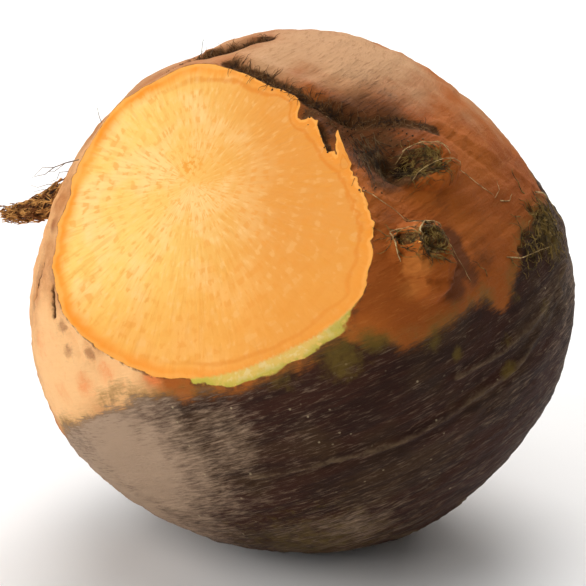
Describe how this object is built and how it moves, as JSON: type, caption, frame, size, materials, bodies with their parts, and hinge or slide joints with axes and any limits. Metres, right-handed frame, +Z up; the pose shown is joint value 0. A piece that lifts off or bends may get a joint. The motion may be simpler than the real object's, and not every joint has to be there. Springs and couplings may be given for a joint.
{
  "type": "rutabaga",
  "caption": "Whole raw rutabaga, a globe-shaped root vegetable with a slice cut off that shows its flesh, broken side roots and a hairy root tail.",
  "frame": {"origin": "centre of the small flat spot it rests on, below its centre of mass", "axes": "+Z up as it stands; the cut face looks to the front, left and up, about (-0.46, -0.67, 0.58); the crown end points down and to the right"},
  "size_m": [0.1294, 0.1237, 0.1187],
  "materials": {
    "rutabaga": "natural skin, rough and dry, purple near the crown and tan near the root end"
  },
  "bodies": {
    "root": {"rutabaga": "rutabaga"}
  },
  "joints": []
}
